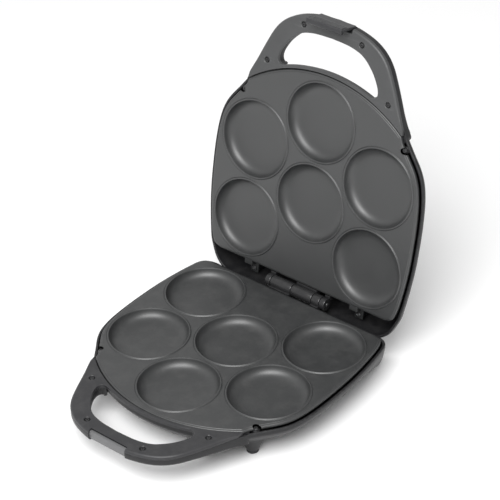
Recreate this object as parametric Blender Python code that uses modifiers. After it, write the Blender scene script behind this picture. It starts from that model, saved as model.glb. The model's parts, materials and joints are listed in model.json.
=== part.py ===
"""Six-well mini pancake maker: two clamshell halves on a rear hinge, each with a D-shaped carrying handle.

Everything is in metres, +Z up. The origin is on the table under the middle of the object, +X runs along
the hinge and -Y points at the handles. The lid stands open against its stop.

Both halves are drawn in the same half frame: x along the hinge, v from the hinge axis towards the handle,
and a depth that counts from the cooking face into the half. half_point turns these into coordinates of the
empty that carries the half: base_frame, or lid_frame, which is the same frame turned over and opened.
"""

import math

import bmesh
import bpy
from mathutils import Matrix, Vector

MM = 0.001
ROOM = 0.3 * MM  # gap between pieces that rest on each other

# Where the halves stand
HINGE_HEIGHT = 39.5 * MM
HINGE_BEHIND_MIDDLE = 94.1 * MM
OPEN_ANGLE = math.radians(103.13)
HALF_GAP = 1.0 * MM  # from the hinge plane to each cooking face, with the lid shut

# Outlines, as (x, v) of the right-hand side
ARC_CENTRE_V = 71.5 * MM
PLATE_ARC_RADIUS = 138.0 * MM
COVER_ARC_RADIUS = 139.2 * MM
BODY_ARC_RADIUS = 141.2 * MM
HOLE_ARC_RADIUS = 142.2 * MM
ARC_HALF_WIDTH = 84.0 * MM
BODY_SIDE = [(84, 185), (95, 170), (106.5, 154.5), (112.3, 141), (115.6, 121), (116.6, 90), (115.2, 55)]
LID_CORNER = [(109.6, 16), (105.6, 5), (99.5, -5.5), (90, -12.6), (78, -14.5), (0, -14.5)]
BASE_CORNER = [(109.6, 17.5), (105.4, 8.6), (96, 4.7), (0, 4.7)]
HANDLE_SIDE = [(0, 260.5), (20, 259.2), (38, 254.7), (51, 247.8), (61, 237.5), (70, 220.5), (84, 188)]
HOLE_SIDE = [(0, 244.5), (20, 243.2), (34, 239), (45, 229.5), (52, 219), (54.6, 211.5), (53.4, 206.6)]
HOLE_SIDE += [(49, 205.2)]
COVER_TIP = [(85.3, 182)]
TRAY_FOOT = [(88.6, 179.4), (84, 170), (57, 193)]

# Shell
SHELL_WALL = 2.4 * MM
LID_RINGS = [(3.5, 0), (7, 0.3), (13, 4.6), (21.5, 12.4), (28, 25)]  # (depth, distance in from the rim)
BASE_RINGS = [(3.5, 0), (8, 0.3), (14, 4.2), (22, 11.8), (28, 24)]
LID_REAR_SHARE = 0.25  # share of that distance at the rear wall
BASE_REAR_SHARE = 0.2
STEEP_LENGTH = 60.0 * MM

# Handle
COVER_THICKNESS = 3.2 * MM
TRAY_DEPTH = 11.0 * MM
TRAY_FLOOR = 2.4 * MM
TRAY_WALL = 2.6 * MM
HANDLE_SCREWS = [(-66.5, 204.4), (-31.5, 248.1), (31.5, 248.1), (66.5, 204.4)]

# Cooking plate
PLATE_THICKNESS = 3.0 * MM
PLATE_MARGIN = 3.8 * MM
PLATE_REAR_V = 8.5 * MM
PLATE_CORNER = [(105.6, 18), (102.2, 11.2), (95, 8.5)]
WELL_RADIUS = 36.0 * MM
BEAD_WIDTH = 2.5 * MM
BEAD_HEIGHT = 0.8 * MM
WELL_DEPTH = 8.5 * MM
WELL_SEGMENTS = 18
WELLS = [(0, 88.3), (0, 166.1), (68.8, 49.4), (-68.8, 49.4), (68.8, 127.2), (-68.8, 127.2)]
FRONT_PLATE_SCREW = (88.8, 169.4)
REAR_PLATE_SCREW = (60.8, -3.0)
LUG_DEPTH = 12.0 * MM
LUG_THICKNESS = 2.0 * MM

# Hinge: barrels along the axis, in the base's x
BARREL_RADIUS = 6.0 * MM
BORE_RADIUS = 1.9 * MM
PIN_RADIUS = 1.8 * MM
BASE_BARRELS = [(-28, -4.8), (19.6, 28)]
LID_BARRELS = [(-34, -28.6), (-4.2, 19), (28.6, 34)]

# Latch and catch
LATCH_HALF_WIDTH = 19.0 * MM
LATCH_REACH = 15.2 * MM
LATCH_V = 258.4 * MM
LATCH_THICKNESS = 2.4 * MM
LATCH_PIVOT_V = 253.4 * MM
LATCH_PIVOT_DEPTH = 5.9 * MM
CATCH_TOP_DEPTH = 1.0 * MM
CATCH_BOTTOM_DEPTH = 9.0 * MM

# Feet
FEET = [("front_right", 77, 161), ("front_left", -77, 161), ("rear_right", 80, 17), ("rear_left", -80, 17)]
FOOT_TOP_RADIUS = 8.7 * MM
FOOT_END_RADIUS = 5.6 * MM
FOOT_POST_DEPTH = 35.5 * MM
FOOT_DEPTH = HINGE_HEIGHT - HALF_GAP

# Heating parts
ELEMENT_RADIUS = 3.2 * MM
ELEMENT_DEPTH = 14.8 * MM
ELEMENT_ROUTE = [(18, 24), (44, 24), (66, 36), (72, 62), (72, 120), (60, 148), (34, 166), (0, 172)]
REFLECTOR_DEPTH = 19.2 * MM
REFLECTOR_THICKNESS = 0.8 * MM
REFLECTOR_MARGIN = 18.0 * MM

PLASTIC = ((0.085, 0.087, 0.09), 0.42, 0.0)
COATING = ((0.075, 0.078, 0.08), 0.48, 0.0)
STEEL = ((0.55, 0.56, 0.57), 0.35, 1.0)
SHEET = ((0.72, 0.73, 0.74), 0.28, 1.0)
RUBBER = ((0.03, 0.03, 0.032), 0.8, 0.0)
GREY_PLASTIC = ((0.28, 0.285, 0.29), 0.45, 0.0)
BAKELITE = ((0.05, 0.035, 0.028), 0.5, 0.0)
CERAMIC = ((0.75, 0.73, 0.68), 0.6, 0.0)
RED_LENS = ((0.6, 0.03, 0.02), 0.2, 0.0)
GREEN_LENS = ((0.05, 0.45, 0.08), 0.2, 0.0)


# --- Scene, frames and objects


def clear_scene():
    for obj in list(bpy.data.objects):
        bpy.data.objects.remove(obj)


def new_collection(name):
    collection = bpy.data.collections.new(name)
    bpy.context.scene.collection.children.link(collection)
    return collection


def new_frame(name, matrix):
    frame = bpy.data.objects.new(name, None)
    frame.empty_display_size = 0.03
    PARTS.objects.link(frame)
    frame.matrix_world = matrix
    return frame


def half_point(x, v, depth):
    return Vector((x, -v, -(HALF_GAP + depth)))


def in_mm(points):
    return [(x * MM, v * MM) for x, v in points]


def paint(obj, look):
    colour, roughness, metallic = look
    material = bpy.data.materials.new(obj.name)
    material.use_nodes = True
    shader = material.node_tree.nodes["Principled BSDF"]
    shader.inputs["Base Color"].default_value = (*colour, 1)
    shader.inputs["Roughness"].default_value = roughness
    shader.inputs["Metallic"].default_value = metallic
    obj.data.materials.clear()
    obj.data.materials.append(material)


def adopt(obj, frame):
    """Hangs the object, and the helpers that its Booleans read, on the frame."""
    obj.parent = frame
    for modifier in obj.modifiers:
        if modifier.type == "BOOLEAN":
            adopt(modifier.object, frame)


def piece(obj, name, frame, look):
    """Makes the object a part of the model, carried by the frame."""
    obj.name = name
    adopt(obj, frame)
    paint(obj, look)
    return obj


def boolean(obj, other, operation):
    """Cuts or joins the other object, which becomes a helper that is not rendered."""
    PARTS.objects.unlink(other)
    CUTTERS.objects.link(other)
    other.hide_render = True
    other.display_type = "WIRE"
    adopt(other, obj.parent)
    modifier = obj.modifiers.new(f"{operation.lower()} {other.name}", "BOOLEAN")
    modifier.operation = operation
    modifier.solver = "EXACT"
    modifier.object = other


def cut(obj, *cutters):
    for cutter in cutters:
        boolean(obj, cutter, "DIFFERENCE")


def join(obj, *additions):
    for addition in additions:
        boolean(obj, addition, "UNION")


def bevel(obj, width, segments=2, angle=40):
    modifier = obj.modifiers.new("bevel", "BEVEL")
    modifier.width = width
    modifier.segments = segments
    modifier.limit_method = "ANGLE"
    modifier.angle_limit = math.radians(angle)


# --- Curves and outlines


def smooth(points, per_span):
    """A curve through the points, with tangents from their neighbours."""
    points = [Vector(p) for p in points]
    chords = [(b - a).length for a, b in zip(points, points[1:])]
    slopes = [(points[1] - points[0]) / chords[0]]
    for i in range(1, len(points) - 1):
        slopes.append((points[i + 1] - points[i - 1]) / (chords[i] + chords[i - 1]))
    slopes.append((points[-1] - points[-2]) / chords[-1])
    curve = []
    for i, chord in enumerate(chords):
        for step in range(per_span):
            t = step / per_span
            near, far = (1 + 2 * t) * (1 - t) ** 2, t * t * (3 - 2 * t)
            curve.append(
                near * points[i]
                + far * points[i + 1]
                + (t * (1 - t) ** 2 * slopes[i] - t * t * (1 - t) * slopes[i + 1]) * chord
            )
    return curve + [points[-1]]


def arc(radius, half_width, steps):
    """The front arc from the middle to x = half_width."""
    end = math.asin(half_width / radius)
    angles = [end * i / steps for i in range(steps + 1)]
    return [Vector((radius * math.sin(a), ARC_CENTRE_V + radius * math.cos(a))) for a in angles]


def both_sides(right):
    """Closes a right-hand outline, whose ends lie on or near x = 0, with its mirror image."""
    left = [Vector((-x, v)) for x, v in reversed(right) if x > 1e-6]
    return [Vector(p) for p in right] + left


def inset(points, amount):
    """A closed clockwise outline moved inwards by the amount, which may be a function of the point."""
    moved = []
    for i, point in enumerate(points):
        along = (points[(i + 1) % len(points)] - points[i - 1]).normalized()
        distance = amount(point) if callable(amount) else amount
        moved.append(point + Vector((along.y, -along.x)) * distance)
    return moved


def body_outline(corner):
    right = arc(BODY_ARC_RADIUS, ARC_HALF_WIDTH, 5)[:-1]
    right += smooth(in_mm(BODY_SIDE + corner[:1]), 2)[:-1]
    right += smooth(in_mm(corner[:-1]), 2) + in_mm(corner[-1:])
    return both_sides(right)


def plate_outline(margin=0.0):
    right = arc(PLATE_ARC_RADIUS, ARC_HALF_WIDTH, 8)
    sides = inset(body_outline(LID_CORNER), PLATE_MARGIN)
    right += [p for p in sides if p.x > 0 and 24 * MM < p.y < right[-1].y - 4 * MM]
    right += in_mm(PLATE_CORNER) + [(0.0, PLATE_REAR_V)]
    return inset(both_sides(right), margin)


def handle_outline():
    """From the front middle down to the cover's tip, right-hand side only."""
    return smooth(in_mm(HANDLE_SIDE), 2)


def hole_outline(arc_radius=HOLE_ARC_RADIUS):
    right = smooth(in_mm(HOLE_SIDE), 2)
    right += reversed(arc(arc_radius, 40 * MM, 4))
    return both_sides(right)


# --- Basic shapes, all drawn in a half frame


def new_mesh_object(name, mesh_builder):
    mesh = bpy.data.meshes.new(name)
    mesh_builder.to_mesh(mesh)
    mesh_builder.free()
    mesh.shade_smooth()
    mesh.set_sharp_from_angle(angle=math.radians(30))
    obj = bpy.data.objects.new(name, mesh)
    PARTS.objects.link(obj)
    return obj


def prism(name, outlines, top, bottom):
    """The flat outlines, holes included, as a solid between two depths."""
    curve = bpy.data.curves.new(name, "CURVE")
    curve.dimensions = "2D"
    curve.fill_mode = "BOTH"
    curve.extrude = (bottom - top) / 2
    for outline in outlines:
        spline = curve.splines.new("POLY")
        spline.points.add(len(outline) - 1)
        for place, (x, v) in zip(spline.points, outline):
            place.co = (x, -v, 0, 1)
        spline.use_cyclic_u = True
    drawn = bpy.data.objects.new(name, curve)
    PARTS.objects.link(drawn)
    shape = bmesh.new()
    shape.from_mesh(mesh_of(drawn))
    bmesh.ops.remove_doubles(shape, verts=shape.verts, dist=1e-6)
    bmesh.ops.translate(shape, verts=shape.verts, vec=(0, 0, -HALF_GAP - (top + bottom) / 2))
    bmesh.ops.recalc_face_normals(shape, faces=shape.faces)
    bpy.data.objects.remove(drawn)
    return new_mesh_object(name, shape)


def mesh_of(obj):
    graph = bpy.context.evaluated_depsgraph_get()
    return bpy.data.meshes.new_from_object(obj.evaluated_get(graph))


def box(name, x, v, depth):
    """A block between the two values of each coordinate."""
    low, high = half_point(x[0], v[1], depth[1]), half_point(x[1], v[0], depth[0])
    shape = bmesh.new()
    bmesh.ops.create_cube(shape, size=1)
    bmesh.ops.scale(shape, verts=shape.verts, vec=high - low)
    bmesh.ops.translate(shape, verts=shape.verts, vec=(low + high) / 2)
    return new_mesh_object(name, shape)


def rod(name, start, end, radius, end_radius=None, segments=20):
    """A cylinder or cone between two points of the half frame."""
    shape = bmesh.new()
    along = end - start
    turn = Vector((0, 0, 1)).rotation_difference(along).to_matrix().to_4x4()
    bmesh.ops.create_cone(
        shape,
        cap_ends=True,
        segments=segments,
        radius1=radius,
        radius2=radius if end_radius is None else end_radius,
        depth=along.length,
        matrix=Matrix.Translation((start + end) / 2) @ turn,
    )
    return new_mesh_object(name, shape)


def turned(name, profile, place, segments=24, up=(0, 0, 1)):
    """A profile of (radius, height), top to bottom, turned about the axis through the place."""
    mesh = bpy.data.meshes.new(name)
    edges = [(i, i + 1) for i in range(len(profile) - 1)]
    mesh.from_pydata([(radius, 0, height) for radius, height in profile], edges, [])
    obj = bpy.data.objects.new(name, mesh)
    PARTS.objects.link(obj)
    turn = Vector((0, 0, 1)).rotation_difference(Vector(up)).to_matrix().to_4x4()
    obj.matrix_local = Matrix.Translation(place) @ turn
    screw = obj.modifiers.new("turn", "SCREW")
    screw.steps = segments
    screw.render_steps = segments
    screw.use_merge_vertices = True
    screw.merge_threshold = 1e-6
    screw.use_smooth_shade = True
    return obj


def tube(name, points, radius, closed=False):
    curve = bpy.data.curves.new(name, "CURVE")
    curve.dimensions = "3D"
    curve.bevel_depth = radius
    curve.bevel_resolution = 2
    curve.use_fill_caps = True
    spline = curve.splines.new("POLY")
    spline.points.add(len(points) - 1)
    for place, point in zip(spline.points, points):
        place.co = (*point, 1)
    spline.use_cyclic_u = closed
    obj = bpy.data.objects.new(name, curve)
    PARTS.objects.link(obj)
    return obj


# --- Shells


def bowl(name, corner, ring_sizes, rear_share):
    """The moulded bowl of one half: rings that step in from the rim outline, closed by a flat floor."""
    outline = body_outline(corner)
    rear_v = min(p.y for p in outline)
    shape = bmesh.new()
    rings = []
    for depth, distance in in_mm(ring_sizes):
        def distance_at(point):
            share = min(1.0, max(0.0, (point.y - rear_v) / STEEP_LENGTH))
            return distance * (rear_share + (1 - rear_share) * share)

        rings.append([shape.verts.new(half_point(*p, depth)) for p in inset(outline, distance_at)])
    for upper, lower in zip(rings, rings[1:]):
        for i in range(len(outline)):
            shape.faces.new((upper[i - 1], upper[i], lower[i], lower[i - 1]))
    shape.faces.new(rings[-1])
    bmesh.ops.recalc_face_normals(shape, faces=shape.faces)
    if shape.faces[-1].normal.z > 0:
        bmesh.ops.reverse_faces(shape, faces=shape.faces)
    obj = new_mesh_object(name, shape)
    solidify = obj.modifiers.new("wall", "SOLIDIFY")
    solidify.thickness = SHELL_WALL
    solidify.offset = -1
    solidify.use_even_offset = True
    return obj


def tray(name):
    """The outer part of the handle, open towards the cover, with pockets between its screws."""
    right = handle_outline() + in_mm(TRAY_FOOT)
    right += reversed(arc(PLATE_ARC_RADIUS - 2 * MM, 50 * MM, 4))
    obj = prism(name, [both_sides(right)], COVER_THICKNESS + ROOM + 0.1 * MM, TRAY_DEPTH)
    obj.modifiers.new("weld", "WELD").merge_threshold = 1e-6
    bevel(obj, 3.2 * MM, 1, 60)
    cut(obj, prism(f"{name}_hole", [hole_outline(PLATE_ARC_RADIUS - 12 * MM)], 0, TRAY_DEPTH + 2 * MM))
    for side in (-1, 1):
        cut(obj, prism(f"{name}_pocket", [pocket_outline(side)], 0, TRAY_DEPTH - TRAY_FLOOR))
    return obj


def pocket_outline(side):
    """The space between the handle's two side walls, from one screw boss to the next."""
    outer = [p for p in handle_outline() if 37 * MM < p.x < 69 * MM]
    inner = [p for p in smooth(in_mm(HOLE_SIDE), 2) if 36 * MM < p.x and p.y > 212 * MM]
    outer = [p - Vector((0.8, 0.6)) * TRAY_WALL for p in outer]
    inner = [p + Vector((0.8, 0.6)) * TRAY_WALL for p in inner]
    return [Vector((p.x * side, p.y)) for p in outer + inner[::-1]]


def barrel(name, span, side, web_v, web_depth):
    """One hinge barrel with the web that ties it to the shell."""
    low, high = sorted((span[0] * side * MM, span[1] * side * MM))
    web = box(name, (low, high), web_v, web_depth)
    join(web, rod(f"{name}_round", Vector((low, 0, 0)), Vector((high, 0, 0)), BARREL_RADIUS))
    return web


def shell(name, frame, bowl_shape):
    """One half's moulding: its bowl, its handle tray and its front screw bosses, without the hinge."""
    obj = piece(bowl(name, *bowl_shape), name, frame, PLASTIC)
    join(obj, tray(f"{name}_tray"))
    for x, v in in_mm(HANDLE_SCREWS):
        drill(obj, x, v, 0, 7.6 * MM)
    for side in (-1, 1):
        x, v = side * FRONT_PLATE_SCREW[0] * MM, FRONT_PLATE_SCREW[1] * MM
        top, bottom = half_point(x, v, 3.6 * MM), half_point(x, v, 9.8 * MM)
        join(obj, rod(f"{name}_boss", top, bottom, 3.3 * MM, segments=12))
        drill(obj, x, v, 0, 8.8 * MM)
    return obj


def add_barrels(obj, barrels, side, web_v, web_depth):
    for span in barrels:
        join(obj, barrel(f"{obj.name}_barrel", span, side, web_v, web_depth))
    cut(obj, rod(f"{obj.name}_bore", Vector((-0.05, 0, 0)), Vector((0.05, 0, 0)), BORE_RADIUS, segments=16))


def add_rear_bosses(obj):
    """The lid's posts under the rear lugs of its plate."""
    seat = LUG_DEPTH + LUG_THICKNESS + ROOM
    for side in (-1, 1):
        x, v = side * REAR_PLATE_SCREW[0] * MM, REAR_PLATE_SCREW[1] * MM
        top, bottom = half_point(x, v, seat), half_point(x, v, 27 * MM)
        join(obj, rod("lid_shell_boss", top, bottom, 3.8 * MM, segments=12))
        drill(obj, x, v, 0, 22 * MM)


def drill(obj, x, v, start, end):
    cut(obj, rod(f"{obj.name}_drill", half_point(x, v, start), half_point(x, v, end), 1.5 * MM, segments=8))


def foot_post(name, x, v):
    start, end = half_point(x, v, 20 * MM), half_point(x, v, FOOT_POST_DEPTH)
    return rod(f"{name}_post", start, end, FOOT_TOP_RADIUS, FOOT_END_RADIUS, segments=16)


def foot_pad(name, x, v, frame):
    top = -HALF_GAP - FOOT_POST_DEPTH - ROOM
    bottom = -HALF_GAP - FOOT_DEPTH
    profile = [(0, top), (5.4 * MM, top), (5.4 * MM, bottom + 0.8 * MM), (4.6 * MM, bottom), (0, bottom)]
    return piece(turned(name, profile, (x, -v, 0), 16), name, frame, RUBBER)


# --- Handle covers


def cover(name, frame, look):
    """The flat D-shaped face of the handle, flush with the cooking plate."""
    right = handle_outline() + in_mm(COVER_TIP)
    right += reversed(arc(COVER_ARC_RADIUS, ARC_HALF_WIDTH, 8))
    outer = both_sides(right)
    obj = prism(name, [outer, hole_outline()], 0, COVER_THICKNESS)
    for x, v in in_mm(HANDLE_SCREWS):
        top, bottom = half_point(x, v, -1 * MM), half_point(x, v, 2.1 * MM)
        cut(obj, rod(f"{name}_seat", top, bottom, 2.7 * MM, segments=12))
        drill(obj, x, v, 0, 5 * MM)
    return piece(obj, name, frame, look)


# --- Cooking plates


def plate(name, frame, look):
    obj = piece(prism(name, [plate_outline()], 0, PLATE_THICKNESS), name, frame, look)
    radius, outer = WELL_RADIUS, WELL_RADIUS + BEAD_WIDTH
    boss = [(0, BEAD_HEIGHT), (outer - 0.4 * MM, BEAD_HEIGHT), (outer, -3.4 * MM)]
    boss += [(29 * MM, -11 * MM), (0, -11 * MM)]
    hollow = [(0, 4 * MM), (radius + 0.4 * MM, 4 * MM), (radius, 0), (33 * MM, -5 * MM)]
    hollow += [(27 * MM, -8 * MM), (0, -WELL_DEPTH)]
    for x, v in in_mm(WELLS):
        join(obj, turned(f"{name}_boss", boss, half_point(x, v, 0), WELL_SEGMENTS))
    for x, v in in_mm(WELLS):
        cut(obj, turned(f"{name}_well", hollow, half_point(x, v, 0), WELL_SEGMENTS))
    for side in (-1, 1):
        x, v = side * FRONT_PLATE_SCREW[0] * MM, FRONT_PLATE_SCREW[1] * MM
        top, bottom = half_point(x, v, -2 * MM), half_point(x, v, 5 * MM)
        cut(obj, rod(f"{name}_notch", top, bottom, 3.2 * MM, segments=12))
        edge = sorted((x, x + side * 8 * MM))
        cut(obj, box(f"{name}_notch", edge, (v - 3.2 * MM, v + 3.2 * MM), (-2 * MM, 5 * MM)))
    return obj


def add_rear_lugs(obj):
    """Brackets that hang from the upper plate's rear edge and carry its rear screws."""
    for side in (-1, 1):
        x, v = side * REAR_PLATE_SCREW[0] * MM, REAR_PLATE_SCREW[1] * MM
        across = (x - 4.5 * MM, x + 4.5 * MM)
        lug = box("rear_lug", across, (4 * MM, PLATE_REAR_V + 2 * MM), (1 * MM, LUG_DEPTH + LUG_THICKNESS))
        join(lug, box("rear_lug_foot", across, (-7 * MM, 5 * MM), (LUG_DEPTH, LUG_DEPTH + LUG_THICKNESS)))
        join(obj, lug)
        drill(obj, x, v, 8 * MM, 18 * MM)


def add_rear_tongues(obj):
    """Tongues that hang from the lower plate's rear edge, just inside the base's rear wall."""
    for x in (-61 * MM, 61 * MM):
        thickness = (PLATE_REAR_V + 0.2 * MM, PLATE_REAR_V + 2 * MM)
        join(obj, box("rear_tongue", (x - 7 * MM, x + 7 * MM), thickness, (1 * MM, 10 * MM)))


# --- Fasteners


def screw(name, x, v, seat, length, frame):
    """A pan-head screw whose head rests at the given depth and points out of the half."""
    head, shank = 2.3 * MM, 1.2 * MM
    profile = [(0, 1.2 * MM), (1.6 * MM, 1.1 * MM), (head, 0.5 * MM), (head, 0), (shank, 0)]
    profile += [(shank, -length + 1 * MM), (0, -length)]
    return piece(turned(name, profile, half_point(x, v, seat - 0.1 * MM), 10), name, frame, STEEL)


def half_screws(half, plate_word, frame):
    for i, (x, v) in enumerate(in_mm(HANDLE_SCREWS)):
        name = f"{half}_handle_screw_{'left' if x < 0 else 'right'}_{'low' if i in (0, 3) else 'high'}"
        screw(name, x, v, 2.1 * MM, 5 * MM, frame)
    x, v = in_mm([FRONT_PLATE_SCREW])[0]
    screw(f"{plate_word}_plate_front_screw_left", -x, v, 3.4 * MM, 4.8 * MM, frame)
    screw(f"{plate_word}_plate_front_screw_right", x, v, 3.4 * MM, 4.8 * MM, frame)


# --- Heating parts


def heating_element(name, frame):
    right = smooth(in_mm(ELEMENT_ROUTE), 2)
    route = right + [Vector((-p.x, p.y)) for p in reversed(right[:-1])]
    obj = tube(name, [half_point(p.x, p.y, ELEMENT_DEPTH) for p in route], ELEMENT_RADIUS)
    return piece(obj, name, frame, STEEL)


def reflector(name, frame):
    outline = plate_outline(REFLECTOR_MARGIN)[::2]
    obj = prism(name, [outline], REFLECTOR_DEPTH, REFLECTOR_DEPTH + REFLECTOR_THICKNESS)
    return piece(obj, name, frame, SHEET)


def thermostat(name, frame):
    top = -HALF_GAP - PLATE_THICKNESS - ROOM
    profile = [(0, top), (8 * MM, top), (8 * MM, top - 3 * MM), (6.5 * MM, top - 3 * MM)]
    profile += [(6.5 * MM, top - 9 * MM), (0, top - 9 * MM)]
    return piece(turned(name, profile, (0, -36 * MM, 0), 20), name, frame, BAKELITE)


def wiring(frame):
    block = box("terminal_block", (-16 * MM, 16 * MM), (52 * MM, 64 * MM), (20.5 * MM, 25.2 * MM))
    bevel(block, 0.6 * MM, 1)
    piece(block, "terminal_block", frame, CERAMIC)
    ends = [half_point(x, 40 * MM, 23 * MM) for x in (28 * MM, 44 * MM)]
    fuse = rod("thermal_fuse", *ends, 2 * MM, segments=12)
    piece(fuse, "thermal_fuse", frame, SHEET)


def cord_gland(shell_piece, frame):
    """A flanged bush in the base's rear wall, where the mains lead comes in."""
    centre = Vector((62 * MM, -6.3 * MM, -19 * MM))
    out = Vector((0, 0.982, -0.187)).normalized()
    cut(shell_piece, rod("gland_hole", centre - out * 15 * MM, centre + out * 3 * MM, 4.3 * MM, segments=16))
    profile = [(2.6 * MM, 2 * MM), (5.2 * MM, 2 * MM), (5.2 * MM, 0.4 * MM), (4 * MM, 0.4 * MM)]
    profile += [(4 * MM, -8 * MM), (2.6 * MM, -8 * MM), (2.6 * MM, 2 * MM)]
    piece(turned("cord_gland", profile, centre, 20, out), "cord_gland", frame, RUBBER)


def lamp(name, x, shell_piece, frame, look):
    """A pilot lamp lens in the lid's top."""
    place = half_point(x, 176 * MM, 0)
    top = -LID_RINGS[-1][0] * MM
    inside, outside = place + Vector((0, 0, top + 6 * MM)), place + Vector((0, 0, top - 2 * MM))
    cut(shell_piece, rod(f"{name}_hole", inside, outside, 4.3 * MM, segments=16))
    profile = [(0, top + 4.5 * MM), (5.4 * MM, top + 4.5 * MM), (5.4 * MM, top + 2.8 * MM)]
    profile += [(4 * MM, top + 2.8 * MM), (4 * MM, top - 0.2 * MM), (2.6 * MM, top - 1.1 * MM)]
    profile.append((0, top - 1.4 * MM))
    piece(turned(name, profile, place, 20), name, frame, look)


# --- Latch and catch


def base_catch(base_shell, base_cover, frame):
    """The notch in the base's handle and the bar that the latch hooks under."""
    back = 258.0 * MM
    beyond = 266 * MM
    half = LATCH_HALF_WIDTH + 1.5 * MM
    pocket = (254.6 * MM, back + 0.5 * MM)
    for obj in (base_shell, base_cover):
        cut(obj, box("catch_notch", (-half, half), (back, beyond), (-2 * MM, 14 * MM)))
    seat = (-half - 1.8 * MM, half + 1.8 * MM)
    cut(base_shell, box("catch_pocket", seat, pocket, (2 * MM, CATCH_BOTTOM_DEPTH + ROOM)))
    undercut = (CATCH_BOTTOM_DEPTH, 14 * MM)
    cut(base_shell, box("catch_undercut", (-half, half), (255.2 * MM, beyond), undercut))
    cut(base_cover, box("catch_window", (-half, half), pocket, (-2 * MM, 5 * MM)))
    thickness = (254.9 * MM, back - 0.2 * MM)
    bar = box("catch_bar", (-half - 1.5 * MM, half + 1.5 * MM), thickness, (3.5 * MM, CATCH_BOTTOM_DEPTH))
    lip = box("catch_lip", (-half + ROOM, half - ROOM), thickness, (CATCH_TOP_DEPTH, 4 * MM))
    piece(bar, "catch_bar", frame, GREY_PLASTIC)
    join(bar, lip)


def latch_parts(lid_shell, lid_cover, lid_frame, latch_frame):
    """The sprung latch in the lid's handle: its recess, pin, spring and hook."""
    half = LATCH_HALF_WIDTH
    room = half + 1.3 * MM
    cut(lid_cover, box("latch_slot", (-room, room), (255 * MM, 266 * MM), (-2 * MM, 5 * MM)))
    cut(lid_shell, box("latch_notch", (-room, room), (257 * MM, 266 * MM), (2 * MM, 9.2 * MM)))
    pocket = (-half - 2.5 * MM, half + 2.5 * MM)
    cut(lid_shell, box("latch_pocket", pocket, (249.6 * MM, 258 * MM), (2 * MM, 9.2 * MM)))
    pivot = half_point(0, LATCH_PIVOT_V, LATCH_PIVOT_DEPTH)
    ends = [pivot + Vector((x, 0, 0)) for x in (-half - 5 * MM, half + 5 * MM)]
    cut(lid_shell, rod("latch_pin_hole", ends[0], ends[1], 1.45 * MM, segments=16))
    pin_ends = [pivot + Vector((x, 0, 0)) for x in (-half - 4.5 * MM, half + 4.5 * MM)]
    piece(rod("latch_pin", *pin_ends, 1.2 * MM, segments=16), "latch_pin", lid_frame, STEEL)

    turns, radius, wire = 3, 2.1 * MM, 0.4 * MM
    steps = 8 * turns
    coil = []
    for i in range(steps + 1):
        angle = math.tau * turns * i / steps
        along = 15.4 * MM + 3.2 * MM * i / steps
        coil.append(pivot + Vector((along, radius * math.cos(angle), radius * math.sin(angle))))
    piece(tube("latch_spring", coil, wire), "latch_spring", lid_frame, STEEL)

    latch = box("latch", (-half, half), (LATCH_V, LATCH_V + LATCH_THICKNESS), (-LATCH_REACH, 6.8 * MM))
    piece(latch, "latch", latch_frame, PLASTIC)
    arm_end = 14.6 * MM
    joined_v = LATCH_V + 1 * MM
    arm_depth = (LATCH_PIVOT_DEPTH - 1.6 * MM, 7 * MM)
    arm = box("latch_arm", (-half, arm_end), (LATCH_PIVOT_V, joined_v), arm_depth)
    hook = box("latch_hook", (-half, half), (256 * MM, joined_v), (-LATCH_REACH, -LATCH_REACH + 3.4 * MM))
    ends = [pivot + Vector((x, 0, 0)) for x in (-half, arm_end)]
    eye = rod("latch_eye", *ends, 2.6 * MM, segments=16)
    ends = [pivot + Vector((x, 0, 0)) for x in (-30 * MM, 30 * MM)]
    bore = rod("latch_bore", *ends, 1.35 * MM, segments=16)
    join(latch, arm, eye, hook)
    cut(latch, bore)
    for shape in (latch, arm, eye, hook, bore):  # drawn in the lid's half frame, but turning on the pivot
        shape.data.transform(Matrix.Translation(-pivot))


# --- The object


clear_scene()
PARTS = new_collection("pancake_maker")
CUTTERS = new_collection("cutters")
CUTTERS.hide_render = True

hinge = Matrix.Translation((0, HINGE_BEHIND_MIDDLE, HINGE_HEIGHT))
opened = Matrix.Rotation(-OPEN_ANGLE, 4, "X") @ Matrix.Rotation(math.pi, 4, "Y")
base_frame = new_frame("base_frame", hinge)
lid_frame = new_frame("lid_frame", hinge @ opened)
latch_pivot = Matrix.Translation(half_point(0, LATCH_PIVOT_V, LATCH_PIVOT_DEPTH))
latch_frame = new_frame("latch_frame", hinge @ opened @ latch_pivot)

base_shell = shell("base_shell", base_frame, (BASE_CORNER, BASE_RINGS, BASE_REAR_SHARE))
add_barrels(base_shell, BASE_BARRELS, 1, (0.5 * MM, 7.6 * MM), (0.5 * MM, 12 * MM))
base_cover = cover("base_handle_cover", base_frame, PLASTIC)
add_rear_tongues(plate("lower_plate", base_frame, COATING))
for place, x, v in FEET:
    join(base_shell, foot_post(f"foot_{place}", x * MM, v * MM))
    foot_pad(f"foot_pad_{place}", x * MM, v * MM, base_frame)
base_catch(base_shell, base_cover, base_frame)
cord_gland(base_shell, base_frame)
wiring(base_frame)
hinge_pin = rod("hinge_pin", Vector((-0.0346, 0, 0)), Vector((0.0346, 0, 0)), PIN_RADIUS, segments=16)
piece(hinge_pin, "hinge_pin", base_frame, STEEL)

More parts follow.
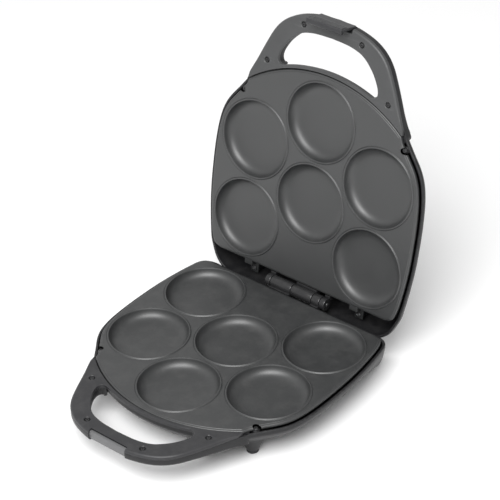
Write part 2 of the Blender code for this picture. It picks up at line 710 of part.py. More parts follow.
lid_shell = shell("lid_shell", lid_frame, (LID_CORNER, LID_RINGS, LID_REAR_SHARE))
add_barrels(lid_shell, LID_BARRELS, -1, (1 * MM, 7.6 * MM), (-HALF_GAP, 27 * MM))
add_rear_bosses(lid_shell)
lid_cover = cover("lid_handle_cover", lid_frame, PLASTIC)
add_rear_lugs(plate("upper_plate", lid_frame, COATING))
for side, word in ((-1, "left"), (1, "right")):
    x, v = side * REAR_PLATE_SCREW[0] * MM, REAR_PLATE_SCREW[1] * MM
    screw(f"upper_plate_rear_screw_{word}", x, v, LUG_DEPTH - 0.1 * MM, 9 * MM, lid_frame)
lamp("power_lamp_lens", 12 * MM, lid_shell, lid_frame, RED_LENS)
lamp("ready_lamp_lens", -12 * MM, lid_shell, lid_frame, GREEN_LENS)
latch_parts(lid_shell, lid_cover, lid_frame, latch_frame)

for half, word, frame in (("base", "lower", base_frame), ("lid", "upper", lid_frame)):
    half_screws(half, word, frame)
    heating_element(f"{word}_heating_element", frame)
    reflector(f"{word}_reflector", frame)
    thermostat(f"{word}_thermostat", frame)
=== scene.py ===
import json
import math

import bmesh
import bpy
from mathutils import Matrix, Vector
from mathutils.geometry import tessellate_polygon


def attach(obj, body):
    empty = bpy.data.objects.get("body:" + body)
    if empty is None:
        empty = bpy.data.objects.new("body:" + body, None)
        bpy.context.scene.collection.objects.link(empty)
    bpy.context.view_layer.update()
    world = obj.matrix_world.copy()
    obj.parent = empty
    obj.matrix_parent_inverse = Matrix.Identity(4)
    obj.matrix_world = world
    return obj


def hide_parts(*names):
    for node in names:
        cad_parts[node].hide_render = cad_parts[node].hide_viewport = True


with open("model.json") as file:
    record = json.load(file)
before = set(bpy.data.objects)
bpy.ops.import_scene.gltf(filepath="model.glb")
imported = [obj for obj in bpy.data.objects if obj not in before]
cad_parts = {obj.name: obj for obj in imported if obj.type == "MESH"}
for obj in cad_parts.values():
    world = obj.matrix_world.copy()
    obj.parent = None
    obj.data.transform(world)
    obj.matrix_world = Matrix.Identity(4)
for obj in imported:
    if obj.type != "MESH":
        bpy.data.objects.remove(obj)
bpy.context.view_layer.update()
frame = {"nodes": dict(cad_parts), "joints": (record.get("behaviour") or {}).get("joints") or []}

# Lengths below are in millimetres. Both halves are drawn as (x, v, d): x along the hinge, v from the hinge
# towards the handle, d from the cooking face into the half. baseSpace and lidSpace carry that into the frame.
mm = 0.001
joints = {joint["name"]: joint for joint in frame["joints"]}
hingePoint = Vector(joints["lid_hinge"]["pos_m"])
openAngle = math.radians(103.13)
faceGap = 1.0  # from the hinge plane to a cooking face
halfAxes = Matrix(((mm, 0, 0, 0), (0, -mm, 0, 0), (0, 0, -mm, -faceGap * mm), (0, 0, 0, 1)))
baseSpace = Matrix.Translation(hingePoint) @ halfAxes
lidTurn = Matrix.Rotation(-openAngle, 4, "X") @ Matrix.Rotation(math.pi, 4, "Y")
lidSpace = Matrix.Translation(hingePoint) @ lidTurn @ halfAxes


# Outlines, clockwise seen from the cooking side

outlineValues = {
    "arcCentre": 71.5,
    "arcHalfWidth": 84.0,
    "plateArc": 138.0,
    "coverArc": 139.2,
    "bodyArc": 141.2,
    "holeArc": 142.2,
    "bodySide": [(84, 185), (95, 170), (106.5, 154.5), (112.3, 141), (115.6, 121), (116.6, 90), (115.2, 55)],
    "lidCorner": [(109.6, 16), (105.6, 5), (99.5, -5.5), (90, -12.6), (78, -14.5), (60, -14.5)],
    "baseCorner": [(109.6, 17.5), (105.4, 8.6), (96, 4.7), (84, 4.7)],
    "handleSide": [(0, 260.5), (20, 259.2), (38, 254.7), (51, 247.8), (61, 237.5), (70, 220.5), (84, 188)],
    "holeArcHalfWidth": 40.0,
    "holeSide": [(0, 244.5), (20, 243.2), (34, 239), (45, 229.5), (52, 219), (54.6, 211.5), (53.4, 206.6),
                 (49, 205.2)],
    "coverTip": (85.3, 182),
    "trayFoot": [(88.6, 179.4), (84, 170), (57, 193)],
}


def smooth(points, perSpan=8):
    points = [Vector(p) for p in points]
    chords = [(b - a).length for a, b in zip(points, points[1:])]
    slopes = [(points[1] - points[0]) / chords[0]]
    for i in range(1, len(points) - 1):
        slopes.append((points[i + 1] - points[i - 1]) / (chords[i] + chords[i - 1]))
    slopes.append((points[-1] - points[-2]) / chords[-1])
    curve = []
    for i, chord in enumerate(chords):
        for step in range(perSpan):
            t = step / perSpan
            near, far = (1 + 2 * t) * (1 - t) ** 2, t * t * (3 - 2 * t)
            pull = t * (1 - t) ** 2 * slopes[i] - t * t * (1 - t) * slopes[i + 1]
            curve.append(near * points[i] + far * points[i + 1] + pull * chord)
    return curve + [points[-1]]


def frontArc(radius, halfWidth, steps=40):
    end = math.asin(halfWidth / radius)
    centre = outlineValues["arcCentre"]
    angles = [end * i / steps for i in range(steps + 1)]
    return [Vector((radius * math.sin(a), centre + radius * math.cos(a))) for a in angles]


def bothSides(right):
    left = [Vector((-p[0], p[1])) for p in reversed(right) if p[0] > 1e-6]
    return [Vector(p) for p in right] + left


def even(points, spacing):
    # a closed outline with its points at equal steps, starting at the first
    ring = points + [points[0]]
    lengths = [0.0]
    for a, b in zip(ring, ring[1:]):
        lengths.append(lengths[-1] + (b - a).length)
    count = 2 * round(lengths[-1] / spacing / 2)
    moved, i = [], 0
    for k in range(count):
        target = lengths[-1] * k / count
        while lengths[i + 1] < target:
            i += 1
        share = (target - lengths[i]) / max(1e-9, lengths[i + 1] - lengths[i])
        moved.append(ring[i].lerp(ring[i + 1], share))
    return moved


def inset(points, amounts):
    # moves a clockwise outline inwards, by one amount for all points or one for each
    moved = []
    for i, point in enumerate(points):
        along = (points[(i + 1) % len(points)] - points[i - 1]).normalized()
        amount = amounts[i] if isinstance(amounts, list) else amounts
        moved.append(point + Vector((along.y, -along.x)) * amount)
    return moved


def bodyOutline(corner):
    values = outlineValues
    right = frontArc(values["bodyArc"], values["arcHalfWidth"])[:-1]
    right += smooth(values["bodySide"] + values[corner])
    return bothSides(right + [Vector((0, values[corner][-1][1]))])


def handleOutline():
    return smooth(outlineValues["handleSide"], 12)


def holeOutline():
    values = outlineValues
    arc = frontArc(values["holeArc"], values["holeArcHalfWidth"])
    return bothSides(smooth(values["holeSide"], 10) + list(reversed(arc)))


def coverOutline():
    values = outlineValues
    right = handleOutline() + [Vector(values["coverTip"])]
    return bothSides(right + list(reversed(frontArc(values["coverArc"], values["arcHalfWidth"]))))


def trayOutline():
    # the U of the handle: down the outside, across its foot inside the bowl, back up the finger hole
    values = outlineValues
    right = handleOutline() + [Vector(p) for p in values["trayFoot"]]
    inner = list(reversed(smooth(values["holeSide"], 10)))
    left = [Vector((-p.x, p.y)) for p in reversed(right[1:])]
    return right + inner + [Vector((-p.x, p.y)) for p in reversed(inner[:-1])] + left


def blendIn(value, start, end):
    t = min(1.0, max(0.0, (value - start) / (end - start)))
    return t * t * (3 - 2 * t)


# Mesh making

sharpAngle = math.radians(35)
edgeValues = {"nearest": 0.3, "flatBend": 0.18, "bendSpan": 0.9}


def addObject(name, data):
    made = bpy.data.objects.new(name, data)
    bpy.context.scene.collection.objects.link(made)
    return made


def newPiece(name, shape, space):
    # the finished mesh object, at the origin, with its place in its mesh
    bmesh.ops.remove_doubles(shape, verts=shape.verts, dist=1e-5)
    bmesh.ops.recalc_face_normals(shape, faces=shape.faces)
    mesh = bpy.data.meshes.new(name)
    shape.to_mesh(mesh)
    shape.free()
    mesh.transform(space)
    mesh.shade_smooth()
    mesh.set_sharp_from_angle(angle=sharpAngle)
    return addObject(name, mesh)


def ringOf(shape, points, depths):
    if not isinstance(depths, list):
        depths = [depths] * len(points)
    return [shape.verts.new((p.x, p.y, d)) for p, d in zip(points, depths)]


def bridge(shape, rings):
    for first, second in zip(rings, rings[1:]):
        for i in range(len(first)):
            shape.faces.new((first[i - 1], first[i], second[i], second[i - 1]))


def capLoops(shape, loops):
    # fills the flat area between the first loop and the holes that follow it
    verts = [v for loop in loops for v in loop]
    flat = [[Vector((v.co.x, v.co.y, 0)) for v in loop] for loop in loops]
    for triangle in tessellate_polygon(flat):
        shape.faces.new([verts[i] for i in triangle])


def slab(loops, top, bottoms, topRounds, bottomRounds, steps=5):
    # a flat piece between two depths with rounded edges; every list runs along the loops' points
    shape = bmesh.new()
    upper, lower = [], []
    for k, points in enumerate(loops):
        rings = []
        for step in range(steps + 1):
            angle = math.pi / 2 * step / steps
            ins = [r * (1 - math.sin(angle)) for r in topRounds[k]]
            deep = [top + r * (1 - math.cos(angle)) for r in topRounds[k]]
            rings.append(ringOf(shape, inset(points, ins), deep))
        for step in range(steps + 1):
            angle = math.pi / 2 * step / steps
            ins = [r * (1 - math.cos(angle)) for r in bottomRounds[k]]
            deep = [b - r * (1 - math.sin(angle)) for b, r in zip(bottoms[k], bottomRounds[k])]
            rings.append(ringOf(shape, inset(points, ins), deep))
        bridge(shape, rings)
        upper.append(rings[0])
        lower.append(rings[-1])
    capLoops(shape, upper)
    capLoops(shape, lower)
    return shape


def addBlock(shape, x, v, d, roundness=0.5, steps=2):
    made = bmesh.ops.create_cube(shape, size=1)["verts"]
    size = Vector((x[1] - x[0], v[1] - v[0], d[1] - d[0]))
    middle = Vector((x[0] + x[1], v[0] + v[1], d[0] + d[1])) / 2
    for vert in made:
        vert.co = Vector(a * b for a, b in zip(vert.co, size)) + middle
    edges = list({edge for vert in made for edge in vert.link_edges})
    if roundness:
        bmesh.ops.bevel(shape, geom=edges, offset=roundness, segments=steps, affect="EDGES", profile=0.5)


def addTurned(shape, profile, place, axis=(0, 0, 1), segments=48):
    # a profile of (radius, height) about an axis, closed at its ends on the axis or as a ring
    turn = Vector((0, 0, 1)).rotation_difference(Vector(axis)).to_matrix()
    place = Vector(place)
    rings = []
    for radius, height in profile:
        if radius < 1e-6:
            rings.append([shape.verts.new(place + turn @ Vector((0, 0, height)))])
            continue
        angles = [math.tau * i / segments for i in range(segments)]
        spots = [Vector((radius * math.cos(a), radius * math.sin(a), height)) for a in angles]
        rings.append([shape.verts.new(place + turn @ spot) for spot in spots])
    for first, second in zip(rings, rings[1:]):
        for i in range(segments):
            if len(first) == 1:
                shape.faces.new((first[0], second[i], second[i - 1]))
            elif len(second) == 1:
                shape.faces.new((first[i - 1], first[i], second[0]))
            else:
                shape.faces.new((first[i - 1], first[i], second[i], second[i - 1]))


def boolean(piece, shape, space, operation="DIFFERENCE"):
    other = newPiece("tool", shape, space)
    modifier = piece.modifiers.new("boolean", "BOOLEAN")
    modifier.operation = operation
    modifier.solver = "EXACT"
    modifier.object = other
    settle(piece)
    bpy.data.objects.remove(other)


def settle(piece):
    # turns the piece's modifiers into its plain mesh
    graph = bpy.context.evaluated_depsgraph_get()
    mesh = bpy.data.meshes.new_from_object(piece.evaluated_get(graph))
    piece.modifiers.clear()
    piece.data = mesh
    mesh.shade_smooth()
    mesh.set_sharp_from_angle(angle=sharpAngle)


def markEdges(piece):
    # an attribute that is 1 on tight outward edges and 0 on flat and hollow ones, for the wear
    values = edgeValues
    shape = bmesh.new()
    shape.from_mesh(piece.data)
    layer = shape.verts.layers.float.new("edgeMask")
    for vert in shape.verts:
        bend = 0.0
        for edge in vert.link_edges:
            if len(edge.link_faces) == 2:
                first, second = (face.calc_center_median() for face in edge.link_faces)
                apart = max((first - second).length / mm, values["nearest"])
                bend = max(bend, edge.calc_face_angle_signed(0.0) / apart)
        vert[layer] = min(1.0, max(0.0, (bend - values["flatBend"]) / values["bendSpan"]))
    shape.to_mesh(piece.data)
    shape.free()


def finishPiece(piece, body, material, replaced):
    markEdges(piece)
    piece.data.materials.clear()
    piece.data.materials.append(material)
    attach(piece, body)
    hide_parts(*replaced)


print("helpers ready")


# Materials

def newGroup(name, inputs, outputs):
    group = bpy.data.node_groups.new(name, "ShaderNodeTree")
    for label, default in inputs:
        socket = group.interface.new_socket(label, in_out="INPUT", socket_type="NodeSocketFloat")
        socket.default_value = default
    for label, kind in outputs:
        group.interface.new_socket(label, in_out="OUTPUT", socket_type=kind)
    return group, group.nodes.new("NodeGroupInput"), group.nodes.new("NodeGroupOutput")


def addNode(tree, kind, inputs=None, **settings):
    node = tree.nodes.new(kind)
    for key, value in settings.items():
        setattr(node, key, value)
    for key, value in (inputs or {}).items():
        if isinstance(value, bpy.types.NodeSocket):
            tree.links.new(value, node.inputs[key])
        else:
            node.inputs[key].default_value = value
    return node


def calc(tree, operation, a, b=0.0, clamp=False):
    return addNode(tree, "ShaderNodeMath", {0: a, 1: b}, operation=operation, use_clamp=clamp).outputs[0]


def makeGrainGroup():
    # fine moulded grain: small pits over a slow unevenness, as a height and a mask
    inputs = [("Fine Scale", 2200.0), ("Broad Scale", 60.0), ("Fine Share", 0.6)]
    outputs = [("Height", "NodeSocketFloat"), ("Mask", "NodeSocketFloat")]
    group, given, result = newGroup("mouldedGrain", inputs, outputs)
    place = addNode(group, "ShaderNodeTexCoord").outputs["Object"]
    fine = {"Vector": place, "Scale": given.outputs["Fine Scale"], "Detail": 3.0, "Roughness": 0.6}
    fine = addNode(group, "ShaderNodeTexNoise", fine).outputs[0]
    broad = {"Vector": place, "Scale": given.outputs["Broad Scale"], "Detail": 4.0, "Roughness": 0.55}
    broad = addNode(group, "ShaderNodeTexNoise", broad).outputs[0]
    finePart = calc(group, "MULTIPLY", fine, given.outputs["Fine Share"])
    rest = calc(group, "SUBTRACT", 1.0, given.outputs["Fine Share"])
    broadPart = calc(group, "MULTIPLY", broad, rest)
    group.links.new(calc(group, "ADD", finePart, broadPart), result.inputs["Height"])
    mask = addNode(group, "ShaderNodeMapRange", {"Value": broad, "From Min": 0.3, "From Max": 0.7})
    group.links.new(mask.outputs[0], result.inputs["Mask"])
    return group


def makeWearGroup():
    # where an edge has been rubbed: the edge mask, broken up by noise
    inputs = [("Amount", 0.5), ("Break Up", 320.0)]
    group, given, result = newGroup("edgeWear", inputs, [("Mask", "NodeSocketFloat")])
    place = addNode(group, "ShaderNodeTexCoord").outputs["Object"]
    edge = addNode(group, "ShaderNodeAttribute", attribute_name="edgeMask").outputs["Fac"]
    broken = {"Vector": place, "Scale": given.outputs["Break Up"], "Detail": 5.0}
    broken = addNode(group, "ShaderNodeTexNoise", broken).outputs[0]
    spread = addNode(group, "ShaderNodeMapRange", {"Value": broken, "From Min": 0.35, "From Max": 0.65})
    worn = calc(group, "MULTIPLY", edge, spread.outputs[0])
    group.links.new(calc(group, "MULTIPLY", worn, given.outputs["Amount"], True), result.inputs["Mask"])
    return group


def makeDustGroup():
    # faint dust that settles on what faces up
    inputs = [("Amount", 0.3), ("Scale", 90.0)]
    group, given, result = newGroup("settledDust", inputs, [("Mask", "NodeSocketFloat")])
    place = addNode(group, "ShaderNodeTexCoord").outputs["Object"]
    normal = addNode(group, "ShaderNodeNewGeometry").outputs["Normal"]
    up = addNode(group, "ShaderNodeSeparateXYZ", {0: normal}).outputs["Z"]
    facing = addNode(group, "ShaderNodeMapRange", {"Value": up, "From Min": 0.2, "From Max": 1.0})
    cloud = {"Vector": place, "Scale": given.outputs["Scale"], "Detail": 8.0, "Roughness": 0.7}
    cloud = addNode(group, "ShaderNodeTexNoise", cloud).outputs[0]
    spots = addNode(group, "ShaderNodeMapRange", {"Value": cloud, "From Min": 0.45, "From Max": 0.8})
    both = calc(group, "MULTIPLY", facing.outputs[0], spots.outputs[0])
    group.links.new(calc(group, "MULTIPLY", both, given.outputs["Amount"], True), result.inputs["Mask"])
    return group


grainGroup, wearGroup, dustGroup = makeGrainGroup(), makeWearGroup(), makeDustGroup()

finishDefaults = {"fine": 1500, "bump": 0.05, "wear": 0.1, "metal": 0.0, "coat": 0.0, "gloss": 0.5}
lensFinish = {"rough": 0.12, "fine": 700, "bump": 0.01, "wear": 0.0, "coat": 0.6}
finishValues = {
    # lid cover plastic; the latch ridges also use it, lighter than the tab, as a painted highlight
    "lidPlasticAndRidgeHighlight": {"colour": (0.05, 0.051, 0.052), "rough": 0.46, "wear": 0.35},
    # the shells' plastic, painted darker than the covers: painted shade on the side walls and in the hinge trough
    "shadedShellPlastic": {"colour": (0.014, 0.014, 0.015), "rough": 0.4, "gloss": 0.3, "wear": 0.5},
    # base cover plastic; the latch tab also uses it, darker than its ridges, as painted shade in the grooves
    "basePlasticAndTabShade": {"colour": (0.027, 0.027, 0.029), "rough": 0.42, "gloss": 0.4, "wear": 0.35},
    "hingePlastic": {"colour": (0.02, 0.02, 0.021), "rough": 0.24, "fine": 1200, "bump": 0.02, "wear": 0.2},
    "catchPlastic": {"colour": (0.11, 0.11, 0.113), "rough": 0.42, "bump": 0.04},
    "coating": {"colour": (0.021, 0.022, 0.0225), "rough": 0.46, "gloss": 1.0, "fine": 3200, "bump": 0.06,
                "wear": 0.15},
    "rubber": {"colour": (0.028, 0.028, 0.03), "rough": 0.78, "fine": 900, "bump": 0.12},
    "bakelite": {"colour": (0.05, 0.033, 0.025), "rough": 0.45, "fine": 1100},
    "ceramic": {"colour": (0.74, 0.72, 0.67), "rough": 0.62, "fine": 1400, "bump": 0.08, "wear": 0.05},
    "steel": {"colour": (0.5, 0.505, 0.51), "rough": 0.34, "fine": 2600, "wear": 0.2, "metal": 1.0},
    "darkSteel": {"colour": (0.07, 0.07, 0.072), "rough": 0.36, "fine": 2200, "wear": 0.3, "metal": 0.8},
    "sheetMetal": {"colour": (0.7, 0.71, 0.72), "rough": 0.26, "fine": 800, "bump": 0.03, "metal": 1.0},
    "redLens": {"colour": (0.55, 0.02, 0.015), **lensFinish},
    "greenLens": {"colour": (0.04, 0.42, 0.07), **lensFinish},
}
surfaceValues = {
    "darkTone": 0.93, "lightTone": 1.07,
    "wornFactor": 1.9, "wornLift": 0.02, "wornRough": -0.08,
    "dustAmount": 0.05, "dustColour": (0.42, 0.41, 0.39, 1),
    "roughSpread": 0.07,
}


def mixColours(tree, factor, first, second):
    mix = addNode(tree, "ShaderNodeMix", {"Factor": factor, 6: first, 7: second}, data_type="RGBA")
    return mix.outputs[2]


def makeFinish(name):
    values, surface = {**finishDefaults, **finishValues[name]}, surfaceValues
    material = bpy.data.materials.new(name)
    material.use_nodes = True
    tree = material.node_tree
    shader = tree.nodes["Principled BSDF"]
    shader.inputs["Metallic"].default_value = values["metal"]
    shader.inputs["Coat Weight"].default_value = values["coat"]
    shader.inputs["Specular IOR Level"].default_value = values["gloss"]
    grain = addNode(tree, "ShaderNodeGroup", {"Fine Scale": values["fine"]}, node_tree=grainGroup)
    wear = addNode(tree, "ShaderNodeGroup", {"Amount": values["wear"]}, node_tree=wearGroup)
    dust = addNode(tree, "ShaderNodeGroup", {"Amount": surface["dustAmount"]}, node_tree=dustGroup)
    colour = Vector(values["colour"])
    dark, light = ((*colour * surface[tone], 1) for tone in ("darkTone", "lightTone"))
    toned = mixColours(tree, grain.outputs["Mask"], dark, light)
    rubbed = (*[min(1.0, c * surface["wornFactor"] + surface["wornLift"]) for c in colour], 1)
    worn = mixColours(tree, wear.outputs["Mask"], toned, rubbed)
    dusty = mixColours(tree, dust.outputs["Mask"], worn, surface["dustColour"])
    tree.links.new(dusty, shader.inputs["Base Color"])
    patchy = calc(tree, "SUBTRACT", grain.outputs["Mask"], 0.5)
    rough = calc(tree, "ADD", calc(tree, "MULTIPLY", patchy, surface["roughSpread"]), values["rough"])
    wornRough = calc(tree, "MULTIPLY", wear.outputs["Mask"], surface["wornRough"])
    tree.links.new(calc(tree, "ADD", rough, wornRough), shader.inputs["Roughness"])
    bump = {"Height": grain.outputs["Height"], "Strength": 1.0, "Distance": values["bump"] * mm}
    bump = addNode(tree, "ShaderNodeBump", bump)
    tree.links.new(bump.outputs[0], shader.inputs["Normal"])
    return material


finishes = {name: makeFinish(name) for name in finishValues}
print("materials made")


# Shells

shellValues = {
    "wall": 2.4,
    "rimDepth": 3.5,
    "rimRound": 0.9,
    "steepLength": 60.0,
    "spacing": 1.7,
    "innerDrop": 0.6,  # share of the wall by which the inside follows the outside
    "screwBoss": [(0, 3.7), (2.9, 3.7), (3.3, 4.1), (3.3, 10), (0, 10)],
    "rearBoss": [(0, 14.3), (3.8, 14.3), (3.8, 26), (0, 26)],
    "tray": {
        "top": 3.5, "depth": 11.0, "topRound": 0.35, "rootSpan": (-236, -190),
        "holeFoot": 205, "reach": 47, "moreReach": 3, "reachSpan": (225, 245), "outsideFrom": 186,
        "edgeRound": 0.5, "outerRound": 2.9, "outerSpan": (180, 200), "holeRound": 1.1, "holeSpan": (206, 216),
    },
    "base": {
        "corner": "baseCorner", "rearShare": 0.2, "rootThicken": 2.6,
        "rings": [(3.5, 0), (8, 0.3), (14, 4.2), (22, 11.8), (26.6, 19.5), (28, 27)],
    },
    "lid": {
        "corner": "lidCorner", "rearShare": 0.25, "rootThicken": 0.0,
        "rings": [(3.5, 0), (7, 0.3), (13, 4.6), (21.5, 12.4), (26.4, 20), (28, 27)],
    },
}


def bowl(half):
    values, own = shellValues, shellValues[half]
    outline = even(bodyOutline(own["corner"]), values["spacing"])
    rearV = min(p.y for p in outline)
    wall, rim, rimRound = values["wall"], values["rimDepth"], values["rimRound"]
    drop = wall * values["innerDrop"]
    shares = []
    for p in outline:
        share = min(1.0, (p.y - rearV) / values["steepLength"])
        shares.append(own["rearShare"] + (1 - own["rearShare"]) * share)
    side = smooth(own["rings"], 6)
    outer = [(d, distance, 0.0) for d, distance in reversed(side) if d > rim + rimRound]
    inner = [(d - drop, distance, wall) for d, distance in side if rim + rimRound < d - drop]
    angles = [math.pi / 2 * k / 4 for k in range(5)]
    rimRings = [(rim + rimRound * (1 - math.sin(a)), 0.0, rimRound * (1 - math.cos(a))) for a in angles]
    rimRings += [(d, 0.0, wall - o) for d, _, o in reversed(rimRings)]
    shape = bmesh.new()
    rings = []
    for d, distance, offset in outer + rimRings + inner:
        rings.append(ringOf(shape, inset(outline, [distance * s + offset for s in shares]), d))
    bridge(shape, rings)
    capLoops(shape, [rings[0]])
    capLoops(shape, [rings[-1]])
    return shape


def handleTray(half):
    # the outer part of the handle, with round outer edges
    values, own = shellValues["tray"], shellValues[half]
    outline = even(trayOutline(), shellValues["spacing"])
    foot = Vector((0, values["holeFoot"]))
    edge = []
    for p in outline:
        reach = (Vector((p.x, max(p.y, foot.y))) - foot).length
        limit = values["reach"] + values["moreReach"] * blendIn(p.y, *values["reachSpan"])
        outside = reach > limit and p.y > values["outsideFrom"]
        kind = "outer" if outside else "hole"
        edge.append(values["edgeRound"] + values[kind + "Round"] * blendIn(p.y, *values[kind + "Span"]))
    deep = [values["depth"] + own["rootThicken"] * blendIn(-p.y, *values["rootSpan"]) for p in outline]
    return slab([outline], values["top"], [deep], [[values["topRound"]] * len(outline)], [edge])


def turnedPoint(shape, x, v, profile, segments=40):
    addTurned(shape, profile, (x, v, 0), segments=segments)


hingeValues = {
    "radius": 6.0,
    "bore": 1.95,
    "boreMouth": 0.4, "boreMouthDepth": 0.3,
    "endRound": 0.7,
    "arcMiddle": 0.29,  # share of a rounding at its 45 degree point
    "spans": {"base": [(-28, -4.8), (19.6, 28)], "lid": [(-34, -28.6), (-4.2, 19), (28.6, 34)]},
    "webAcross": (2.6, 7.6),
    "webDepths": {"base": (0.5, 12), "lid": (1.5, 27)},
    "webRound": 0.6,
    "pin": [(0, -34.6), (1.4, -34.6), (1.8, -34.2), (1.8, 34.2), (1.4, 34.6), (0, 34.6)],
}


def hingeSpans(half):
    flip = -1 if half == "lid" else 1
    return [sorted((a * flip, b * flip)) for a, b in hingeValues["spans"][half]]


def barrels(half):
    # barrels with round ends about the hinge pin
    values = hingeValues
    bore, mouth, mouthDepth = values["bore"], values["boreMouth"], values["boreMouthDepth"]
    outer, soft = values["radius"], values["endRound"]
    part = soft * values["arcMiddle"]
    shape = bmesh.new()
    for low, high in hingeSpans(half):
        profile = [(bore, low + mouthDepth), (bore + mouth, low), (outer - soft, low)]
        profile += [(outer - part, low + part), (outer, low + soft)]
        profile += [(outer, high - soft), (outer - part, high - part), (outer - soft, high)]
        profile += [(bore + mouth, high), (bore, high - mouthDepth), (bore, low + mouthDepth)]
        addTurned(shape, profile, (0, 0, -faceGap), (1, 0, 0), 56)
    return shape


def webs(half):
    # the blocks that join the barrels to the shell
    values = hingeValues
    shape = bmesh.new()
    for span in hingeSpans(half):
        addBlock(shape, span, values["webAcross"], values["webDepths"][half], values["webRound"])
    return shape


footValues = {
    "places": [("front_right", 77, 161), ("front_left", -77, 161),
               ("rear_right", 80, 17), ("rear_left", -80, 17)],
    "post": [(0, 18), (11.2, 18), (10.2, 22), (9.0, 25.5), (7.6, 30), (6.1, 34.4), (5.6, 35.2), (5.0, 35.5),
             (0, 35.5)],
    "pad": [(0, 35.8), (5.0, 35.8), (5.4, 36.1), (5.4, 36.6), (5.05, 36.9), (5.4, 37.2), (5.4, 37.9),
            (4.7, 38.5), (2.2, 38.5), (1.9, 38.2), (0, 38.2)],
}
frontScrewSpots = [(-88.8, 169.4), (88.8, 169.4)]
rearScrewSpots = [(-60.8, -3.0), (60.8, -3.0)]
handleScrewSpots = [(-66.5, 204.4), (-31.5, 248.1), (31.5, 248.1), (66.5, 204.4)]
catchCuts = {
    "notch": ((-20.5, 20.5), (258, 268), (-2, 14)),
    "pocket": ((-22.3, 22.3), (254.6, 258.5), (2, 9.3)),
    "undercut": ((-20.5, 20.5), (255.2, 268), (9, 14)),
    "window": ((-20.5, 20.5), (254.6, 258.5), (-2, 5)),
}
latchCuts = {
    "slot": ((-20.3, 20.3), (255, 268), (-2, 5)),
    "notch": ((-20.3, 20.3), (257, 268), (2, 9.2)),
    "pocket": ((-21.5, 21.5), (249.6, 258), (2, 9.2)),
}
lampValues = {
    "spots": {
        "power_lamp_lens": (12, 176, "redLens", "red_lens"),
        "ready_lamp_lens": (-12, 176, "greenLens", "green_lens"),
    },
    "hole": [(0, 22), (4.3, 22), (4.3, 30), (0, 30)],
    "dome": [(0, 23.5), (5.4, 23.5), (5.4, 25.2), (4.05, 25.2), (4.05, 28.2), (3.9, 28.5), (3.3, 28.95),
             (2.3, 29.25), (1.1, 29.4), (0, 29.42)],
}
glandValues = {
    "place": (62, 6.3, 18.0),
    "axis": (0, -0.982, 0.187),
    "hole": [(0, -9), (4.3, -9), (4.3, 3), (0, 3)],
    "profile": [(2.6, -8), (4, -8), (4, 0.4), (5.2, 0.4), (5.2, 1.6), (4.9, 2.0), (4.4, 2.0), (4.2, 2.6),
                (3.7, 2.6), (3.5, 2.2), (3.0, 2.2), (2.6, 1.8), (2.6, -8)],
}


def plateBosses():
    # the posts that the plates' front screws go into
    shape = bmesh.new()
    for x, v in frontScrewSpots:
        turnedPoint(shape, x, v, shellValues["screwBoss"], 32)
    return shape


def cutBlocks(piece, cuts, names, space):
    for name in names:
        shape = bmesh.new()
        addBlock(shape, *cuts[name], 0)
        boolean(piece, shape, space)


def makeBaseShell():
    piece = newPiece("baseShell", bowl("base"), baseSpace)
    boolean(piece, handleTray("base"), baseSpace, "UNION")
    posts = bmesh.new()
    for _, x, v in footValues["places"]:
        turnedPoint(posts, x, v, footValues["post"])
    boolean(piece, posts, baseSpace, "UNION")
    boolean(piece, webs("base"), baseSpace, "UNION")
    boolean(piece, plateBosses(), baseSpace, "UNION")
    cutBlocks(piece, catchCuts, ("notch", "pocket", "undercut"), baseSpace)
    hole = bmesh.new()
    addTurned(hole, glandValues["hole"], glandValues["place"], glandValues["axis"])
    boolean(piece, hole, baseSpace)
    # the darker shell colour is painted shade on the walls and in the trough
    finishPiece(piece, "base", finishes["shadedShellPlastic"], ["base_shell"])
    rounds = newPiece("baseBarrels", barrels("base"), baseSpace)
    finishPiece(rounds, "base", finishes["hingePlastic"], ["base_shell"])


def makeLidShell():
    piece = newPiece("lidShell", bowl("lid"), lidSpace)
    boolean(piece, handleTray("lid"), lidSpace, "UNION")
    boolean(piece, webs("lid"), lidSpace, "UNION")
    boolean(piece, plateBosses(), lidSpace, "UNION")
    posts = bmesh.new()
    for x, v in rearScrewSpots:
        turnedPoint(posts, x, v, shellValues["rearBoss"], 32)
    boolean(piece, posts, lidSpace, "UNION")
    cutBlocks(piece, latchCuts, ("notch", "pocket"), lidSpace)
    holes = bmesh.new()
    for x, v, _, _ in lampValues["spots"].values():
        turnedPoint(holes, x, v, lampValues["hole"], 32)
    boolean(piece, holes, lidSpace)
    # the darker shell colour is painted shade on the side walls
    finishPiece(piece, "lid", finishes["shadedShellPlastic"], ["lid_shell"])
    rounds = newPiece("lidBarrels", barrels("lid"), lidSpace)
    finishPiece(rounds, "lid", finishes["hingePlastic"], ["lid_shell"])


makeBaseShell()
makeLidShell()
print("shells made")


# Handle covers

coverValues = {
    "thickness": 3.2, "spacing": 1.5,
    "arcRound": 0.3, "arcReach": 0.4,
    "edgeRound": 0.4, "outerRound": 2.2, "outerSpan": (188, 206),
    "holeRound": 0.45, "backRound": 0.15,
    "seat": 2.7, "seatMouth": 0.5, "seatDepth": 2.1,
}


